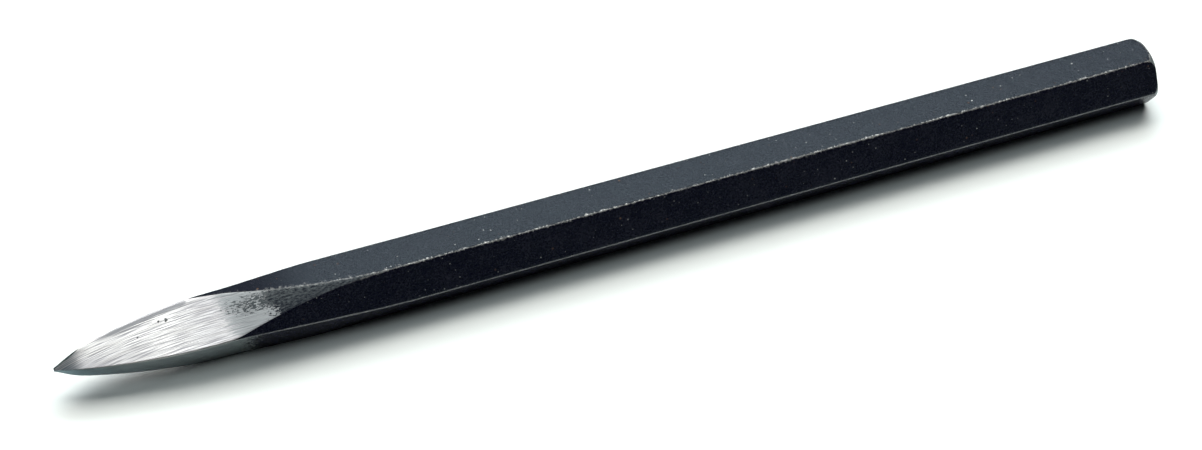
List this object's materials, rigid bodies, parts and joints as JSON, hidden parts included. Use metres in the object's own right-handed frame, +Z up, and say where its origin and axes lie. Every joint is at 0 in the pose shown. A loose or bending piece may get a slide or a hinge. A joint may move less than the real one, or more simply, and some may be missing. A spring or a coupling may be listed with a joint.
{
  "type": "point chisel",
  "caption": "Forged hexagonal bar chisel with a ground four-sided point at one end and a chamfered striking head at the other.",
  "frame": {"origin": "under the middle of the bar, on the surface that it lies on: x is half-way between tip and struck face, y is on the bar's axis", "axes": "+X along the bar from the point to the struck head, +Z up, square to the flat it lies on, +Y across the bar"},
  "size_m": [0.25, 0.0158, 0.014],
  "materials": {
    "blackened_tool_steel": "dark forge scale, satin and finely grained, with the four facets of the point ground bright"
  },
  "bodies": {
    "root": {"chisel_body": "blackened_tool_steel"}
  },
  "joints": []
}
